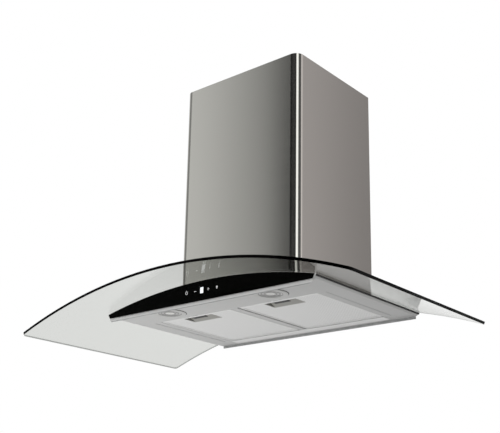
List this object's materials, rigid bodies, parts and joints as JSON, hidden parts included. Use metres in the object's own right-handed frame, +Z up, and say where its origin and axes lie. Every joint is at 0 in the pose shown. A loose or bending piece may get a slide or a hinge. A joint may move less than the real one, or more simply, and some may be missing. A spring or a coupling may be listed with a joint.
{
  "type": "wall range hood",
  "caption": "Wall-mounted range hood with a curved clear glass canopy, a shallow body with tilting grease filters, lamps and a touch panel, and a telescopic steel chimney.",
  "frame": {"origin": "on the wall, at the wall plate's back face, midway across, level with the underside of the pan", "axes": "+X to the right along the canopy, +Y into the wall, +Z up"},
  "size_m": [0.9, 0.508, 0.6084],
  "materials": {
    "stainless_steel": "brushed along the width",
    "galvanised_steel": "matt zinc",
    "body_steel": "satin grey",
    "clear_glass": "clear, polished edges",
    "black_glass": "opaque, polished",
    "gasket_rubber": "matt",
    "touch_mark": "printed",
    "display_window": "tinted",
    "circuit_board": "lacquered",
    "grey_plastic": "moulded",
    "black_plastic": "moulded",
    "lamp_rim": "satin",
    "lamp_glass": "frosted",
    "filter_frame_aluminium": "satin",
    "filter_mesh_aluminium": "fine mesh",
    "pocket_metal": "satin",
    "spring_steel": "plain",
    "zinc_screw": "zinc plated",
    "scroll_plastic": "moulded",
    "wheel_plastic": "moulded",
    "motor_shell": "black enamel",
    "motor_core": "laminated",
    "bearing_bronze": "sintered",
    "collar_plastic": "moulded",
    "capacitor_case": "moulded",
    "lead_sheath": "soft"
  },
  "bodies": {
    "hood": {"wall_plate": "galvanised_steel", "canopy_pan": "body_steel", "body_top_cover": "body_steel", "front_trim": "body_steel", "glass_gaskets": "gasket_rubber", "canopy_glass": "clear_glass", "glass_grommets": "gasket_rubber", "mounting_frame": "galvanised_steel", "canopy_bolts": "zinc_screw", "control_panel": "black_glass", "display_lens": "display_window", "touch_icons": "touch_mark", "control_board": "circuit_board", "control_board_cover": "black_plastic", "lamp_bezel_left": "lamp_rim", "lamp_bezel_right": "lamp_rim", "lamp_lens_left": "lamp_glass", "lamp_lens_right": "lamp_glass", "lamp_housings": "grey_plastic", "lamp_boards": "circuit_board", "blower_box": "galvanised_steel", "box_front_cover": "galvanised_steel", "scroll_rear": "scroll_plastic", "scroll_front": "scroll_plastic", "motor_housing": "motor_shell", "motor_stator": "motor_core", "motor_bearings": "bearing_bronze", "outlet_collar": "collar_plastic", "flap_pin": "zinc_screw", "electronics_box": "grey_plastic", "electronics_lid": "grey_plastic", "power_board": "circuit_board", "transformer": "motor_core", "motor_capacitor": "capacitor_case", "cable_gland": "black_plastic", "chimney_lower": "stainless_steel", "chimney_rests": "galvanised_steel", "filter_catch_left": "spring_steel", "filter_catch_right": "spring_steel", "case_screws": "zinc_screw", "wiring": "lead_sheath"},
    "impeller": {"impeller": "wheel_plastic", "motor_shaft": "zinc_screw", "motor_rotor": "motor_core"},
    "flap_left": {"flap_left": "collar_plastic"},
    "flap_right": {"flap_right": "collar_plastic"},
    "upper_chimney": {"chimney_upper": "stainless_steel", "ceiling_bracket": "galvanised_steel", "ceiling_screws": "zinc_screw"},
    "filter_left": {"filter_frame_left": "filter_frame_aluminium", "filter_mesh_left": "filter_mesh_aluminium", "latch_pocket_left": "pocket_metal", "latch_spring_left": "spring_steel"},
    "filter_right": {"filter_frame_right": "filter_frame_aluminium", "filter_mesh_right": "filter_mesh_aluminium", "latch_pocket_right": "pocket_metal", "latch_spring_right": "spring_steel"},
    "latch_left": {"latch_slider_left": "black_plastic"},
    "latch_right": {"latch_slider_right": "black_plastic"}
  },
  "joints": [
    {"name": "impeller_spin", "type": "hinge", "parent": "hood", "child": "impeller", "pos_m": [0.045, -0.124, 0.155], "axis": [0, 1, 0], "continuous": true},
    {"name": "flap_left_swing", "type": "hinge", "parent": "hood", "child": "flap_left", "pos_m": [0, -0.124, 0.316], "axis": [0, 1, 0], "range_deg": [0, 75]},
    {"name": "flap_right_swing", "type": "hinge", "parent": "hood", "child": "flap_right", "pos_m": [0, -0.124, 0.316], "axis": [0, -1, 0], "range_deg": [0, 75]},
    {"name": "upper_chimney_slide", "type": "slide", "parent": "hood", "child": "upper_chimney", "axis": [0, 0, 1], "range_m": [0, 0.39]},
    {"name": "filter_left_tilt", "type": "hinge", "parent": "hood", "child": "filter_left", "pos_m": [0, -0.0393, 0.0013], "axis": [1, 0, 0], "range_deg": [0, 75], "deforming": ["filter_catch_left"]},
    {"name": "latch_left_slide", "type": "slide", "parent": "filter_left", "child": "latch_left", "axis": [0, 1, 0], "range_m": [0, 0.006], "stiffness_N_per_m": 200, "springref_m": -0.01, "deforming": ["latch_spring_left"]},
    {"name": "filter_right_tilt", "type": "hinge", "parent": "hood", "child": "filter_right", "pos_m": [0, -0.0393, 0.0013], "axis": [1, 0, 0], "range_deg": [0, 75], "deforming": ["filter_catch_right"]},
    {"name": "latch_right_slide", "type": "slide", "parent": "filter_right", "child": "latch_right", "axis": [0, 1, 0], "range_m": [0, 0.006], "stiffness_N_per_m": 200, "springref_m": -0.01, "deforming": ["latch_spring_right"]}
  ]
}
